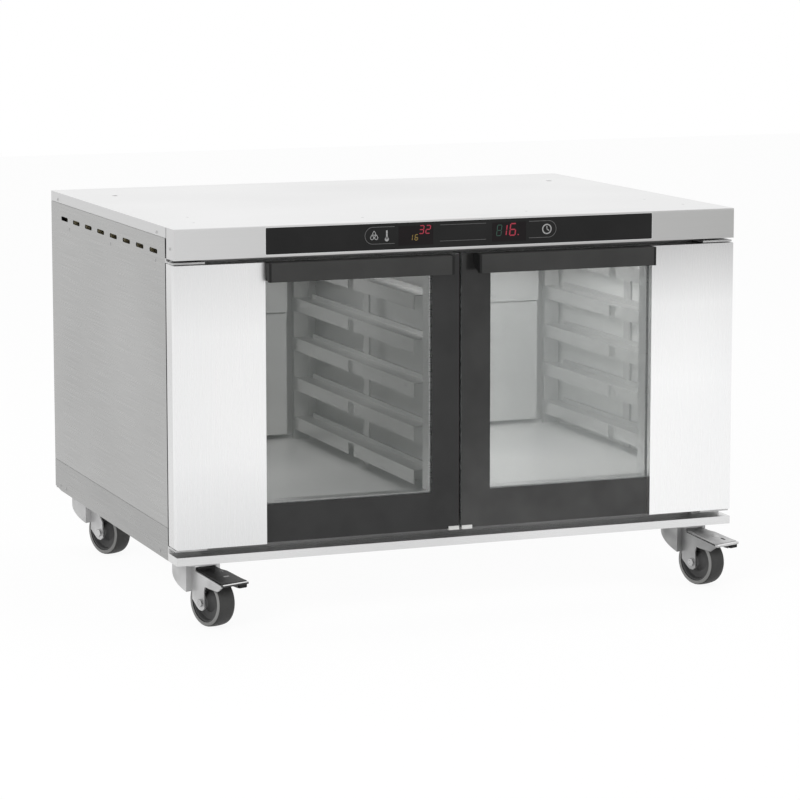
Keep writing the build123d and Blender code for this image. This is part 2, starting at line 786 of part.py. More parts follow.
    clip_x = span(side, door_inner_x + 0.5, door_inner_x + clip_width)
    with BuildPart() as glass_clip:
        block(clip_x, (glass_y - clip_lip[0], glass_back_y), (door_bottom_z - 2.0, door_bottom_z + clip_lip[1]))
        block(clip_x, (glass_y, glass_back_y), (door_bottom_z, door_bottom_z + clip_lip[1]), Mode.SUBTRACT)
    save(glass_clip.part, f"{side_name}_glass_clip")

# ---- Casters ----

caster_places = {
    f"{row}_{side_name}": (side * (half_width - caster_side_inset), y)
    for row, y in (("front", front_y + caster_front_inset), ("rear", back_y - caster_rear_inset))
    for side, side_name in side_names.items()
}
raceway_bottom = crown_top + raceway_gap
crown_bottom = crown_top - fork_sheet
plate_z = base_floor_z - top_plate[2]
kingpin_head = 3.5
kingpin_play = 0.4

with BuildPart() as caster_plates:
    for caster_x, caster_y in caster_places.values():
        with BuildSketch(Plane.XY.offset(plate_z)):
            with Locations((caster_x, caster_y)):
                Rectangle(top_plate[0], top_plate[1])
        extrude(amount=top_plate[2])
        with BuildSketch(Plane.XY.offset(raceway_bottom)):
            with Locations((caster_x, caster_y)):
                Circle(raceway_radius)
        extrude(amount=plate_z - raceway_bottom)
        with BuildSketch(Plane.XY.offset(crown_bottom - kingpin_play)):
            with Locations((caster_x, caster_y)):
                Circle(kingpin_radius)
        extrude(amount=raceway_bottom - crown_bottom + kingpin_play)
        with BuildSketch(Plane.XY.offset(crown_bottom - kingpin_play - kingpin_head)):
            with Locations((caster_x, caster_y)):
                Circle(kingpin_head_radius)
        extrude(amount=kingpin_head)
        with BuildSketch(Plane.XY.offset(plate_z - plate_bolt_radius)):
            with Locations((caster_x, caster_y)):
                with GridLocations(plate_bolt_span[0], plate_bolt_span[1], 2, 2):
                    Circle(plate_bolt_radius)
        extrude(amount=plate_bolt_radius)
save(caster_plates.part, "caster_plates")

fork_outer_half = fork_inner_half + fork_sheet
crease_s = crease_ahead
shell_low_back = 92.0
shell_low_crease = 54.0
leg_back = -24.0  # rear edge of the side plates, ahead of the axle
arm_top_back = 88.5
leg_outline = ((leg_back, 43.0), (-11.2, 31.4), (-5.6, 27.7), (1.9, 27.2), (7.5, 31.4), (7.5, 39.8), (6.5, 59.0))
arm_outline = ((9.3, 67.0), (19.6, 65.5), (41.5, 64.0), (arm_reach - 1.0, 72.5), (arm_reach - 4.0, 74.8))


def along(origin, out=0.0):
    """The upright plane of a caster: x runs ahead along its heading, y is up, out is sideways."""
    return Plane(
        origin=(origin[0] + axle_direction.X * out, origin[1] + axle_direction.Y * out, 0),
        x_dir=heading,
        z_dir=axle_direction,
    )


for name, place in caster_places.items():
    angle = math.radians(caster_headings[name.split("_")[0]])
    heading = Vector(math.cos(angle), math.sin(angle), 0)
    axle_direction = heading.cross(Vector(0, 0, 1))
    axle_point = (place[0] + heading.X * caster_trail, place[1] + heading.Y * caster_trail)
    braked = name.startswith("front")
    outline = leg_outline + arm_outline if braked else leg_outline
    top_edge = ((-crease_s, crown_bottom), (leg_back, crown_bottom))
    if braked:
        top_edge = ((-crease_s + 2.0, arm_top_back), (-crease_s, crown_bottom), (leg_back, crown_bottom))

    with BuildPart() as fork:
        with BuildSketch(Plane.XY.offset(crown_bottom)):
            with Locations(place):
                Circle(crown_radius)
        extrude(amount=fork_sheet)
        with BuildSketch(Plane.XY.offset(shell_low_crease)):
            with Locations(place):
                Circle(crown_radius)
                Circle(crown_radius - fork_sheet, mode=Mode.SUBTRACT)
        extrude(amount=crown_bottom - shell_low_crease + fork_sheet / 2)
        with BuildSketch(along(place)):
            with BuildLine():
                Polyline(
                    (-crown_radius * 2, shell_low_crease - 5.0),
                    (-crown_radius * 2, shell_low_back + 5.0),
                    (-crown_radius, shell_low_back),
                    (crease_s, shell_low_crease + 1.0),
                    (crease_s, crown_bottom),
                    (crown_radius * 2, crown_bottom),
                    (crown_radius * 2, shell_low_crease - 5.0),
                    close=True,
                )
            make_face()
        extrude(amount=crown_radius * 2, both=True, mode=Mode.SUBTRACT)
        for side in side_names:
            inner = side * fork_inner_half
            with BuildSketch(along(axle_point, inner)):
                with BuildLine():
                    Polyline(*outline, *top_edge, close=True)
                make_face()
            extrude(amount=side * fork_sheet)
            with BuildSketch(along(place, inner)):
                with BuildLine():
                    Polyline(
                        (crease_s - fork_sheet, shell_low_crease + 1.0),
                        (crease_s, shell_low_crease + 1.0),
                        (crease_s, crown_top - 1.0),
                        (crease_s - fork_sheet, crown_top - 1.0),
                        close=True,
                    )
                make_face()
            extrude(amount=side * (math.sqrt(crown_radius**2 - crease_s**2) - fork_inner_half - 0.5))
        with BuildSketch(along(axle_point, -fork_outer_half)):
            with Locations((0, wheel_radius)):
                Circle(axle_radius)
        extrude(amount=2 * fork_outer_half, mode=Mode.SUBTRACT)
        with BuildSketch(Plane.XY.offset(crown_bottom)):
            with Locations(place):
                Circle(kingpin_radius + running_clearance)
        extrude(amount=fork_sheet, mode=Mode.SUBTRACT)
        if braked:
            with BuildSketch(along(axle_point, -fork_outer_half)):
                with Locations((pedal_pin_ahead, pedal_pin_height)):
                    Circle(pedal_pin_radius)
            extrude(amount=2 * fork_outer_half)
    save(fork.part, f"{name}_fork")

    with BuildPart() as axle:
        with BuildSketch(along(axle_point, -fork_outer_half - axle_head_length)):
            with Locations((0, wheel_radius)):
                Circle(axle_radius)
        extrude(amount=2 * (fork_outer_half + axle_head_length))
        for side in side_names:
            with BuildSketch(along(axle_point, side * fork_outer_half)):
                with Locations((0, wheel_radius)):
                    RegularPolygon(axle_head, 6)
            extrude(amount=side * axle_head_length)
    save(axle.part, f"{name}_axle")

    with BuildPart() as hub:
        with BuildSketch(along(axle_point)) as barrel:
            with Locations((0, wheel_radius)):
                Circle(hub_radius)
        extrude(amount=hub_length / 2, both=True)
        with BuildSketch(along(axle_point)) as web:
            with Locations((0, wheel_radius)):
                Circle(rim_radius)
        extrude(amount=web_half, both=True)
        with BuildSketch(along(axle_point)) as rim:
            with Locations((0, wheel_radius)):
                Circle(rim_radius)
                Circle(rim_radius - 3.0, mode=Mode.SUBTRACT)
        extrude(amount=tread_width / 2 - 2.0, both=True)
        with BuildSketch(along(axle_point)) as bore:
            with Locations((0, wheel_radius)):
                Circle(axle_radius + running_clearance)
        extrude(amount=hub_length, both=True, mode=Mode.SUBTRACT)
    save(hub.part, f"{name}_hub")

    with BuildPart() as tyre:
        with BuildSketch(along(axle_point)):
            with Locations((0, wheel_radius)):
                Circle(wheel_radius)
                Circle(rim_radius, mode=Mode.SUBTRACT)
        extrude(amount=tread_width / 2, both=True)
        fillet(tyre.edges().filter_by(GeomType.CIRCLE).group_by(lambda edge: edge.radius)[-1], radius=4.0)
    save(tyre.part, f"{name}_tyre")

    if braked:
        slope_back = (-crease_s - 4.0, pedal_back_height)
        slope_tip = (arm_reach + pedal_tip_length, pedal_tip_height)
        ear_half = pedal_half_width
        with BuildPart() as pedal:
            with BuildSketch(along(axle_point)):
                with BuildLine():
                    Polyline(
                        slope_back,
                        slope_tip,
                        (slope_tip[0], slope_tip[1] - pedal_sheet),
                        (slope_back[0], slope_back[1] - pedal_sheet),
                        close=True,
                    )
                make_face()
            extrude(amount=pedal_half_width, both=True)
            with BuildSketch(along(axle_point)):
                with BuildLine():
                    Polyline(
                        (arm_reach + 0.5, slope_tip[1] + 1.2),
                        (slope_tip[0], slope_tip[1]),
                        (slope_tip[0], slope_tip[1] - pedal_sheet),
                        (arm_reach + 0.5, slope_tip[1] - pedal_sheet),
                        close=True,
                    )
                make_face()
            extrude(amount=pedal_tip_half, both=True)
            with BuildSketch(along(axle_point)):
                with Locations((18.0, 80.4)):
                    Rectangle(8.0, 4.2)
            extrude(amount=8.0, both=True)
            for side in side_names:
                with BuildSketch(along(axle_point, side * ear_half)):
                    with Locations((pedal_pin_ahead, pedal_pin_height)):
                        Circle(pedal_ear_radius)
                        with Locations((0, pedal_ear_radius / 2)):
                            Rectangle(2 * pedal_ear_radius, pedal_ear_radius)
                extrude(amount=-side * 2.0)
            with BuildSketch(along(axle_point)):
                with Locations((pedal_pin_ahead, pedal_pin_height)):
                    Circle(pedal_pin_radius + running_clearance)
            extrude(amount=pedal_half_width, both=True, mode=Mode.SUBTRACT)
        save(pedal.part, f"{name}_pedal")

# ---- Screws ----

flange_screw_setbacks = (90.0, 684.0)
panel_screw_setbacks = (102.0, 358.0, 615.0)
panel_screw_z = lid_z - 58.0
skirt_screw_setbacks = (93.0, 660.0, 697.0)

with BuildPart() as panel_screws:
    for screw_x, screw_y in lid_screw_places:
        with Locations((screw_x, screw_y, lid_z - sheet / 2)):
            Cone(bottom_radius=lid_screw_point, top_radius=screw_radius, height=sheet)
    for side in side_names:
        with BuildSketch(Plane.YZ.offset(side * half_width)):
            for setback in flange_screw_setbacks:
                with Locations((front_y + setback, flange_bottom_z + 5.0)):
                    Circle(screw_radius)
            for setback in panel_screw_setbacks:
                with Locations((front_y + setback, panel_screw_z)):
                    Circle(screw_radius)
            with Locations((front_y + fascia_return / 2, fascia_bottom_z + 17.0)):
                Circle(screw_radius)
            for setback in skirt_screw_setbacks:
                with Locations((front_y + setback, base_z + 8.0)):
                    Circle(screw_radius)
        extrude(amount=side * screw_height)
save(panel_screws.part, "panel_screws")
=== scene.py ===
import bmesh
import bpy
import json
import math
import numpy as np
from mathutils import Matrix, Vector


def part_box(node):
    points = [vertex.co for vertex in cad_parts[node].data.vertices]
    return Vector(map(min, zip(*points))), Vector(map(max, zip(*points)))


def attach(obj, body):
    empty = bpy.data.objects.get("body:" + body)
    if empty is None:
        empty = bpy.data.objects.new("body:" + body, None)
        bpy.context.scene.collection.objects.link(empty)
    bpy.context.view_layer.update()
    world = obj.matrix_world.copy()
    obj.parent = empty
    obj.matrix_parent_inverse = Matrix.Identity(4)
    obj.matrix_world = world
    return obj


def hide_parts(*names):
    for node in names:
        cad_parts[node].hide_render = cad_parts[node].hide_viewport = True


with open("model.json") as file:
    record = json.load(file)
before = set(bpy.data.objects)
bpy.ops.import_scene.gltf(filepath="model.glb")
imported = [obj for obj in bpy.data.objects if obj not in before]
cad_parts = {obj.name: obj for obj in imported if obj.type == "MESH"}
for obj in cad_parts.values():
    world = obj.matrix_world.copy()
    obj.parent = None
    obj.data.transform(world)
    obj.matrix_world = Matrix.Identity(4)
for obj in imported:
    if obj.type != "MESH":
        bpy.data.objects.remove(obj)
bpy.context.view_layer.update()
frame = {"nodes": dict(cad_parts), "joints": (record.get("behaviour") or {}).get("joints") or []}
nodes = frame["nodes"]
print("frame loaded,", len(nodes), "nodes")

mm = 0.001
sides = {"left": -1.0, "right": 1.0}
casters = ("front_left", "front_right", "rear_left", "rear_right")
pivots = {joint["name"]: np.array(joint["pos_m"]) for joint in frame["joints"]}
axes = {joint["name"]: np.array(joint["axis"], float) for joint in frame["joints"]}
upward, outFront, outBack = (0.0, 0.0, 1.0), (0.0, -1.0, 0.0), (0.0, 1.0, 0.0)
weld = 2e-6
speck = 1e-6


# A grid of points becomes quads: point (i, j) joins (i+1, j), (i+1, j+1) and (i, j+1).
def gridQuads(rows, columns, closeRows=False, closeColumns=False, start=0):
    i = np.arange(rows if closeRows else rows - 1)
    j = np.arange(columns if closeColumns else columns - 1)
    i, j = np.meshgrid(i, j, indexing="ij")
    a = i * columns + j
    b = ((i + 1) % rows) * columns + j
    c = ((i + 1) % rows) * columns + (j + 1) % columns
    d = i * columns + (j + 1) % columns
    return np.stack([a, b, c, d], -1).reshape(-1, 4) + start


# Several grids become one closed, outward facing mesh that rides on a body; edges past an angle stay sharp.
def makePiece(name, grids, material, body, smooth=35.0):
    points, quads, start = [], [], 0
    for grid, closeRows, closeColumns in grids:
        rows, columns = grid.shape[:2]
        points.append(grid.reshape(-1, 3))
        quads.append(gridQuads(rows, columns, closeRows, closeColumns, start))
        start += rows * columns
    mesh = bpy.data.meshes.new(name)
    mesh.from_pydata(np.concatenate(points).tolist(), [], np.concatenate(quads).tolist())
    work = bmesh.new()
    work.from_mesh(mesh)
    bmesh.ops.remove_doubles(work, verts=work.verts, dist=weld)
    bmesh.ops.dissolve_degenerate(work, edges=work.edges, dist=speck)
    bmesh.ops.recalc_face_normals(work, faces=work.faces)
    for face in work.faces:
        face.smooth = True
    for edge in work.edges:
        edge.smooth = len(edge.link_faces) == 2 and edge.calc_face_angle(0.0) < math.radians(smooth)
    work.to_mesh(mesh)
    work.free()
    piece = bpy.data.objects.new(name, mesh)
    bpy.context.scene.collection.objects.link(piece)
    mesh.materials.append(material)
    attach(piece, body)
    return piece


# The first and last rings of a tube are each drawn together to their middle, so the tube is closed.
def capped(grid):
    count = grid.shape[1]
    first, last = grid[:1].mean(1, keepdims=True), grid[-1:].mean(1, keepdims=True)
    return np.concatenate([np.repeat(first, count, 1), grid, np.repeat(last, count, 1)])


# Two unit vectors across an axis, so that across, up and axis make a right-handed set.
def crossAxes(axis):
    axis = np.array(axis, float) / np.linalg.norm(axis)
    helper = np.array([0.0, 0.0, 1.0]) if abs(axis[2]) < 0.9 else np.array([1.0, 0.0, 0.0])
    across = np.cross(helper, axis)
    across /= np.linalg.norm(across)
    return across, np.cross(axis, across), axis


# A turned surface: centre + axis * along + (across * cos t + up * sin t) * radius, the radius optionally scaled
# by a function of t.
def turned(profile, centre, axis, steps=72, shape=None):
    across, up, axis = crossAxes(axis)
    t = np.linspace(0.0, 2.0 * np.pi, steps, endpoint=False)
    scale = np.ones(steps) if shape is None else shape(t)
    radius = np.array(profile, float)[:, :1] * mm * scale[None, :]
    along = np.array(profile, float)[:, 1:] * mm
    ring = across * np.cos(t)[:, None] + up * np.sin(t)[:, None]
    grid = np.array(centre) + axis * along[:, :, None] + ring[None, :, :] * radius[:, :, None]
    return grid, False, True


# A flat stroke on the plane y = face: the path's points plus and minus half a width along its normal, from the
# face to a small height in front of it.
def stroke(path, width, face, height=0.15, closed=False):
    path = np.array(path, float) * mm
    ahead = np.roll(path, -1, 0) - path if closed else np.gradient(path, axis=0)
    if closed:
        ahead = ahead + (path - np.roll(path, 1, 0))
    ahead /= np.maximum(np.linalg.norm(ahead, axis=1, keepdims=True), 1e-9)
    normal = np.stack([-ahead[:, 1], ahead[:, 0]], 1) * width * mm / 2
    left, right = path + normal, path - normal
    back, front = np.full(len(path), face), np.full(len(path), face - height * mm)
    corners = [
        np.stack([left[:, 0], back, left[:, 1]], 1),
        np.stack([left[:, 0], front, left[:, 1]], 1),
        np.stack([right[:, 0], front, right[:, 1]], 1),
        np.stack([right[:, 0], back, right[:, 1]], 1),
    ]
    grid = np.stack(corners, 1)
    return grid if closed else capped(grid), closed, True


# Points on a circle's arc, centre + radius * (cos t, sin t), in degrees, in the plane of the front.
def arc(x, z, radius, start, end, steps=24):
    t = np.radians(np.linspace(start, end, steps))
    return np.stack([x + radius * np.cos(t), z + radius * np.sin(t)], 1)


# A flat plate with rounded corners: its outline is a rounded rectangle in X and Z, and along Y it steps from an
# outline set in by an edge to the full outline and back.
def plate(low, high, corner, edge, steps=2):
    low, high = np.array(low, float), np.array(high, float)
    middle, half = (low + high) / 2, (high - low) / 2
    corner = min(corner, half[0] * 0.99, half[2] * 0.99)
    edge = min(edge, half[1] * 0.9)
    t = np.concatenate([np.radians(np.linspace(q * 90, q * 90 + 90, steps)) for q in range(4)])
    quadrant = np.repeat(np.array([[1, 1], [-1, 1], [-1, -1], [1, -1]], float), steps, 0)
    outline = quadrant * (half[[0, 2]] - corner) + corner * np.stack([np.cos(t), np.sin(t)], 1)
    rings = []
    for depth, size, inset in (
        (-half[1], 0.0, 0.0), (-half[1], 1.0, edge), (-half[1] + edge, 1.0, 0.0),
        (half[1] - edge, 1.0, 0.0), (half[1], 1.0, edge), (half[1], 0.0, 0.0),
    ):
        ring = (outline - np.sign(outline) * np.minimum(inset, np.abs(outline))) * size
        rings.append(np.stack([ring[:, 0], np.full(len(ring), depth), ring[:, 1]], 1) + middle)
    return np.stack(rings) * mm, False, True


# A material with one principled shader; returns it with its node tree and the shader.
def finish(name, colour, metallic=0.0, roughness=0.5, **extra):
    material = bpy.data.materials.new(name)
    material.use_nodes = True
    tree = material.node_tree
    shader = tree.nodes["Principled BSDF"]
    shader.inputs["Base Color"].default_value = (*colour, 1.0)
    shader.inputs["Metallic"].default_value = metallic
    shader.inputs["Roughness"].default_value = roughness
    for socket, value in extra.items():
        shader.inputs[socket.replace("_", " ")].default_value = value
    return material, tree, shader


# A value between two numbers is carried to the same share of the way between two others, and held at the ends.
def ranged(tree, value, low, high, first=0.0, last=1.0):
    node = tree.nodes.new("ShaderNodeMapRange")
    for socket, number in (("From Min", low), ("From Max", high), ("To Min", first), ("To Max", last)):
        node.inputs[socket].default_value = number
    tree.links.new(value, node.inputs["Value"])
    return node.outputs["Result"]


# The share of the way between two places on one of the object's own axes.
def shareAlong(tree, axis, low, high):
    place = tree.nodes.new("ShaderNodeTexCoord")
    parts = tree.nodes.new("ShaderNodeSeparateXYZ")
    tree.links.new(place.outputs["Object"], parts.inputs[0])
    return ranged(tree, parts.outputs[axis], low, high)


# A value picks a colour from stops, each a position and a colour.
def ramp(tree, value, stops):
    node = tree.nodes.new("ShaderNodeValToRGB")
    marks = node.color_ramp.elements
    for index, (position, colour) in enumerate([stops[0], stops[-1], *stops[1:-1]]):
        mark = marks[index] if index < 2 else marks.new(position)
        mark.position = position
        mark.color = (*colour, 1.0)
    tree.links.new(value, node.inputs["Fac"])
    return node.outputs["Color"]


# Two colours are mixed by a share, or multiplied; each of the three may be a socket or a plain value.
def mixed(tree, share, first, second, blend="MIX"):
    node = tree.nodes.new("ShaderNodeMix")
    node.data_type = "RGBA"
    node.blend_type = blend
    for index, source in ((0, share), (6, first), (7, second)):
        if isinstance(source, bpy.types.NodeSocket):
            tree.links.new(source, node.inputs[index])
        else:
            node.inputs[index].default_value = source
    return node.outputs[2]


# The larger of two values, or their product.
def combined(tree, operation, first, second):
    node = tree.nodes.new("ShaderNodeMath")
    node.operation = operation
    tree.links.new(first, node.inputs[0])
    if isinstance(second, float):
        node.inputs[1].default_value = second
    else:
        tree.links.new(second, node.inputs[1])
    return node.outputs[0]


# Noise on object coordinates, stretched by a scale for each axis.
def grain(tree, scale, detail=3.0, rough=0.55):
    place = tree.nodes.new("ShaderNodeTexCoord")
    stretch = tree.nodes.new("ShaderNodeMapping")
    stretch.inputs["Scale"].default_value = scale
    noise = tree.nodes.new("ShaderNodeTexNoise")
    noise.inputs["Scale"].default_value = 1.0
    noise.inputs["Detail"].default_value = detail
    noise.inputs["Roughness"].default_value = rough
    tree.links.new(place.outputs["Object"], stretch.inputs["Vector"])
    tree.links.new(stretch.outputs["Vector"], noise.inputs["Vector"])
    return noise.outputs["Fac"]


# The noise's middle range, 0.3 to 0.7, is spread between two numbers.
def spread(tree, value, low, high):
    return ranged(tree, value, 0.3, 0.7, low, high)


# The noise picks a colour between two.
def tint(tree, value, dark, light):
    return ramp(tree, value, [(0.32, dark), (0.68, light)])


# A fine relief from the noise.
def relief(tree, shader, value, strength, distance):
    bump = tree.nodes.new("ShaderNodeBump")
    bump.inputs["Strength"].default_value = strength
    bump.inputs["Distance"].default_value = distance
    tree.links.new(value, bump.inputs["Height"])
    tree.links.new(bump.outputs["Normal"], shader.inputs["Normal"])


# Rolled stainless: long fine scratches along one axis move the roughness and the relief, broad clouds the colour.
def stainless(
    name, dark, light, roughness=(0.24, 0.36), lines=(6.0, 900.0, 900.0), clouds=(2.0, 2.5, 3.0),
    metallic=1.0, strength=0.05,
):
    material, tree, shader = finish(name, light, metallic, roughness[0])
    lineNoise = grain(tree, lines, 4.0)
    cloudNoise = grain(tree, clouds, 1.0)
    tree.links.new(tint(tree, cloudNoise, dark, light), shader.inputs["Base Color"])
    tree.links.new(spread(tree, lineNoise, *roughness), shader.inputs["Roughness"])
    relief(tree, shader, lineNoise, strength, 0.0002)
    return material


# Painted shade: the lid's folded faces are painted darker than its top, and darker still to the right, as a fold
# turned
# from the light looks: above the fold the top's own colour is mixed in, and below it the painted fold shade runs
# along X.
def paintLidFoldShade(material, foldZ, endX, near, far):
    tree = material.node_tree
    colour = tree.nodes["Principled BSDF"].inputs["Base Color"]
    top = colour.links[0].from_socket
    fold = mixed(tree, shareAlong(tree, "X", -endX, endX), (*near, 1.0), (*far, 1.0))
    above = shareAlong(tree, "Z", foldZ - 1.2 * mm, foldZ - 0.1 * mm)
    tree.links.new(mixed(tree, above, fold, top), colour)


# Painted reflection: a sheet's colour is multiplied by greys set at shares of the height, darker near its ends as
# a mirrored darker room would make it.
def paintReflectionFade(material, node, stops):
    low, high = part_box(node)
    tree = material.node_tree
    colour = tree.nodes["Principled BSDF"].inputs["Base Color"]
    own = colour.links[0].from_socket
    reflectionGreys = ramp(tree, shareAlong(tree, "Z", low.z, high.z), [(position, (grey,) * 3) for position, grey in stops])
    tree.links.new(mixed(tree, 1.0, own, reflectionGreys, "MULTIPLY"), colour)


# Moulded or coated: a fine stipple in the relief and a little colour and gloss change.
def coated(name, colour, roughness=(0.4, 0.55), stipple=900.0, strength=0.15, change=0.15, **extra):
    material, tree, shader = finish(name, colour, 0.0, roughness[0], **extra)
    stippleNoise = grain(tree, (stipple,) * 3, 2.0)
    softNoise = grain(tree, (14.0,) * 3, 2.0)
    dark = tuple(c * (1.0 - change) for c in colour)
    light = tuple(min(1.0, c * (1.0 + change)) for c in colour)
    tree.links.new(tint(tree, softNoise, dark, light), shader.inputs["Base Color"])
    tree.links.new(spread(tree, stippleNoise, *roughness), shader.inputs["Roughness"])
    relief(tree, shader, stippleNoise, strength, 0.0001)
    return material


# Clear tempered glass: mostly see-through, with a faint film of unevenness in its gloss.
def clearGlass(name, colour, alpha):
    material, tree, shader = finish(name, colour, 0.0, 0.03, IOR=1.5, Alpha=alpha)
    filmNoise = grain(tree, (5.0, 5.0, 5.0), 2.0)
    tree.links.new(spread(tree, filmNoise, 0.02, 0.06), shader.inputs["Roughness"])
    return material


# A printed or lit mark: glows by a strength, with a soft unevenness in its colour.
def lit(name, colour, glow):
    material, tree, shader = finish(name, colour, 0.0, 0.4)
    softNoise = grain(tree, (300.0,) * 3, 1.0)
    dark = tuple(c * 0.75 for c in colour)
    tree.links.new(tint(tree, softNoise, dark, colour), shader.inputs["Base Color"])
    shader.inputs["Emission Color"].default_value = (*colour, 1.0)
    shader.inputs["Emission Strength"].default_value = glow
    return material


alongY, alongZ, smallClouds = (900.0, 6.0, 900.0), (900.0, 900.0, 6.0), (30.0, 30.0, 30.0)
steelLooks = {
    # Painted shade: the panels' and skirts' stainless is set much darker than the doors' and lid's, as the sides
    # look by their reflections.
    "panel": dict(dark=(0.36, 0.36, 0.355), light=(0.405, 0.405, 0.4), lines=alongY),
    "lid": dict(dark=(0.78, 0.78, 0.78), light=(0.84, 0.84, 0.84), roughness=(0.3, 0.42)),
    "skirt": dict(dark=(0.3, 0.3, 0.296), light=(0.345, 0.345, 0.34), lines=alongY),
    "rail": dict(dark=(0.65, 0.65, 0.65), light=(0.75, 0.75, 0.75)),
    # Painted light: the right door's steel is set lighter than the left door's, the same sheet as it looks in
    # brighter light.
    "doorLeft": dict(dark=(0.83, 0.835, 0.84), light=(0.9, 0.9, 0.9), lines=alongZ, clouds=(4.0, 4.0, 2.2)),
    "doorRight": dict(dark=(0.89, 0.895, 0.9), light=(0.97, 0.97, 0.97), lines=alongZ, clouds=(4.0, 4.0, 2.2)),
    # Painted shade: the front frame's steel is set dark, as it looks in the shaded gap behind the doors.
    "frame": dict(dark=(0.2, 0.2, 0.2), light=(0.3, 0.3, 0.3), roughness=(0.35, 0.5)),
    "inner": dict(dark=(0.66, 0.665, 0.66), light=(0.8, 0.8, 0.79), roughness=(0.34, 0.46), metallic=0.45),
    "rack": dict(
        dark=(0.5, 0.5, 0.495), light=(0.62, 0.62, 0.61), roughness=(0.27, 0.3),
        lines=(2400.0, 30.0, 2400.0), metallic=0.75, strength=0.015,
    ),
    "zinc": dict(
        dark=(0.5, 0.5, 0.5), light=(0.64, 0.64, 0.64), roughness=(0.34, 0.5), clouds=smallClouds, metallic=0.55,
    ),
    # Painted shade: a darker copy of the zinc plating, for the front right fork as it looks in the cabinet's
    # shadow.
    "zincShade": dict(
        dark=(0.26, 0.26, 0.26), light=(0.4, 0.4, 0.4), roughness=(0.34, 0.5), clouds=smallClouds, metallic=0.7,
    ),
    "screw": dict(dark=(0.4, 0.4, 0.4), light=(0.55, 0.55, 0.55), lines=(300.0, 300.0, 300.0)),
}
steel = {name: stainless(name + "Steel", **look) for name, look in steelLooks.items()}
# Painted shade on the lid's front and side folds, darker towards the right end.
paintLidFoldShade(steel["lid"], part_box("top_cover")[1].z, 0.48, (0.63, 0.63, 0.63), (0.43, 0.43, 0.425))
# Painted reflection on the doors' steel: lightest in the middle, darker towards the bottom and the top.
paintReflectionFade(steel["doorLeft"], "left_door_cover", ((0.0, 0.88), (0.3, 1.0), (0.75, 0.98), (1.0, 0.84)))
paintReflectionFade(steel["doorRight"], "left_door_cover", ((0.0, 0.96), (0.5, 1.0), (0.78, 0.9), (1.0, 0.58)))

printed = dict(roughness=(0.14, 0.2), stipple=400.0, strength=0.02, change=0.2, Specular_IOR_Level=0.36)
other = {
    "wool": coated("woolSlab", (0.62, 0.55, 0.34), (0.85, 0.95), 400.0, 0.6, 0.25),
    "heater": stainless("heaterSheath", (0.2, 0.18, 0.16), (0.36, 0.33, 0.3), (0.35, 0.5), (60.0,) * 3),
    "fan": stainless("fanAluminium", (0.6, 0.61, 0.62), (0.74, 0.75, 0.76), (0.3, 0.4), (40.0,) * 3),
    "motor": coated("motorEnamel", (0.02, 0.02, 0.022), (0.3, 0.45)),
    "strip": coated(
        "stripGloss", (0.011, 0.011, 0.011), (0.16, 0.22), 500.0, 0.02, 0.2, Specular_IOR_Level=0.2
    ),
    "lens": coated(
        "lensTint", (0.009, 0.006, 0.007), (0.1, 0.16), 500.0, 0.02, 0.2, Specular_IOR_Level=0.16
    ),
    "board": coated("boardGreen", (0.02, 0.16, 0.06), (0.35, 0.5)),
    # Painted light: the right glass is set lighter and hazier than the left, the same glass as it looks in
    # brighter light.
    "glassLeft": clearGlass("leftGlass", (0.22, 0.24, 0.23), 0.17),
    "glassRight": clearGlass("rightGlass", (0.56, 0.59, 0.58), 0.25),
    # Painted light: the right border print is set lighter than the left, the same print as it looks in brighter
    # light.
    "printLeft": coated("leftBorderPrint", (0.021, 0.021, 0.021), **printed),
    "printRight": coated("rightBorderPrint", (0.056, 0.056, 0.055), **printed),
    "gasket": coated("gasketRubber", (0.06, 0.06, 0.06), (0.6, 0.75)),
    "handle": coated(
        "handleCoat", (0.038, 0.038, 0.037), (0.38, 0.5), 1200.0, 0.2, 0.12, Specular_IOR_Level=0.3
    ),
    "cap": coated("capPlastic", (0.012, 0.012, 0.012), (0.45, 0.6), Specular_IOR_Level=0.2),
    "clip": coated("clipPlastic", (0.82, 0.82, 0.8), (0.35, 0.5), 600.0, 0.05, 0.05),
    "gland": coated("glandNylon", (0.03, 0.03, 0.03), (0.45, 0.6)),
    "hub": coated("hubPlastic", (0.08, 0.08, 0.08), (0.4, 0.55), 700.0, 0.1, 0.2, Specular_IOR_Level=0.35),
    "tread": coated(
        "treadRubber", (0.05, 0.05, 0.049), (0.5, 0.68), 500.0, 0.25, 0.25, Specular_IOR_Level=0.3
    ),
    # Painted light: the sidewall rings are set a lighter grey than the tread, as the tyre's sides look lit from
    # the left.
    "sidewall": coated("sidewallRubber", (0.26, 0.26, 0.255), (0.5, 0.65), 500.0, 0.15, 0.2),
    "pedalBlack": coated("pedalCoat", (0.018, 0.018, 0.018), (0.35, 0.5), 700.0, 0.15, 0.2),
    "white": lit("whitePrint", (0.48, 0.48, 0.48), 0.0),
    "grey": lit("greyPrint", (0.13, 0.13, 0.13), 0.0),
    "red": lit("redSegment", (0.36, 0.02, 0.045), 0.28),
    "amber": lit("amberSegment", (0.24, 0.16, 0.03), 0.16),
    "green": lit("greenSegment", (0.02, 0.08, 0.055), 0.1),
}
# Painted reflection on the right glass's black print: lighter near the bottom, darker towards the top.
paintReflectionFade(other["printRight"], "right_door_glass", ((0.0, 1.0), (0.12, 1.0), (0.4, 0.55), (1.0, 0.45)))
print("finishes made:", len(steel) + len(other))

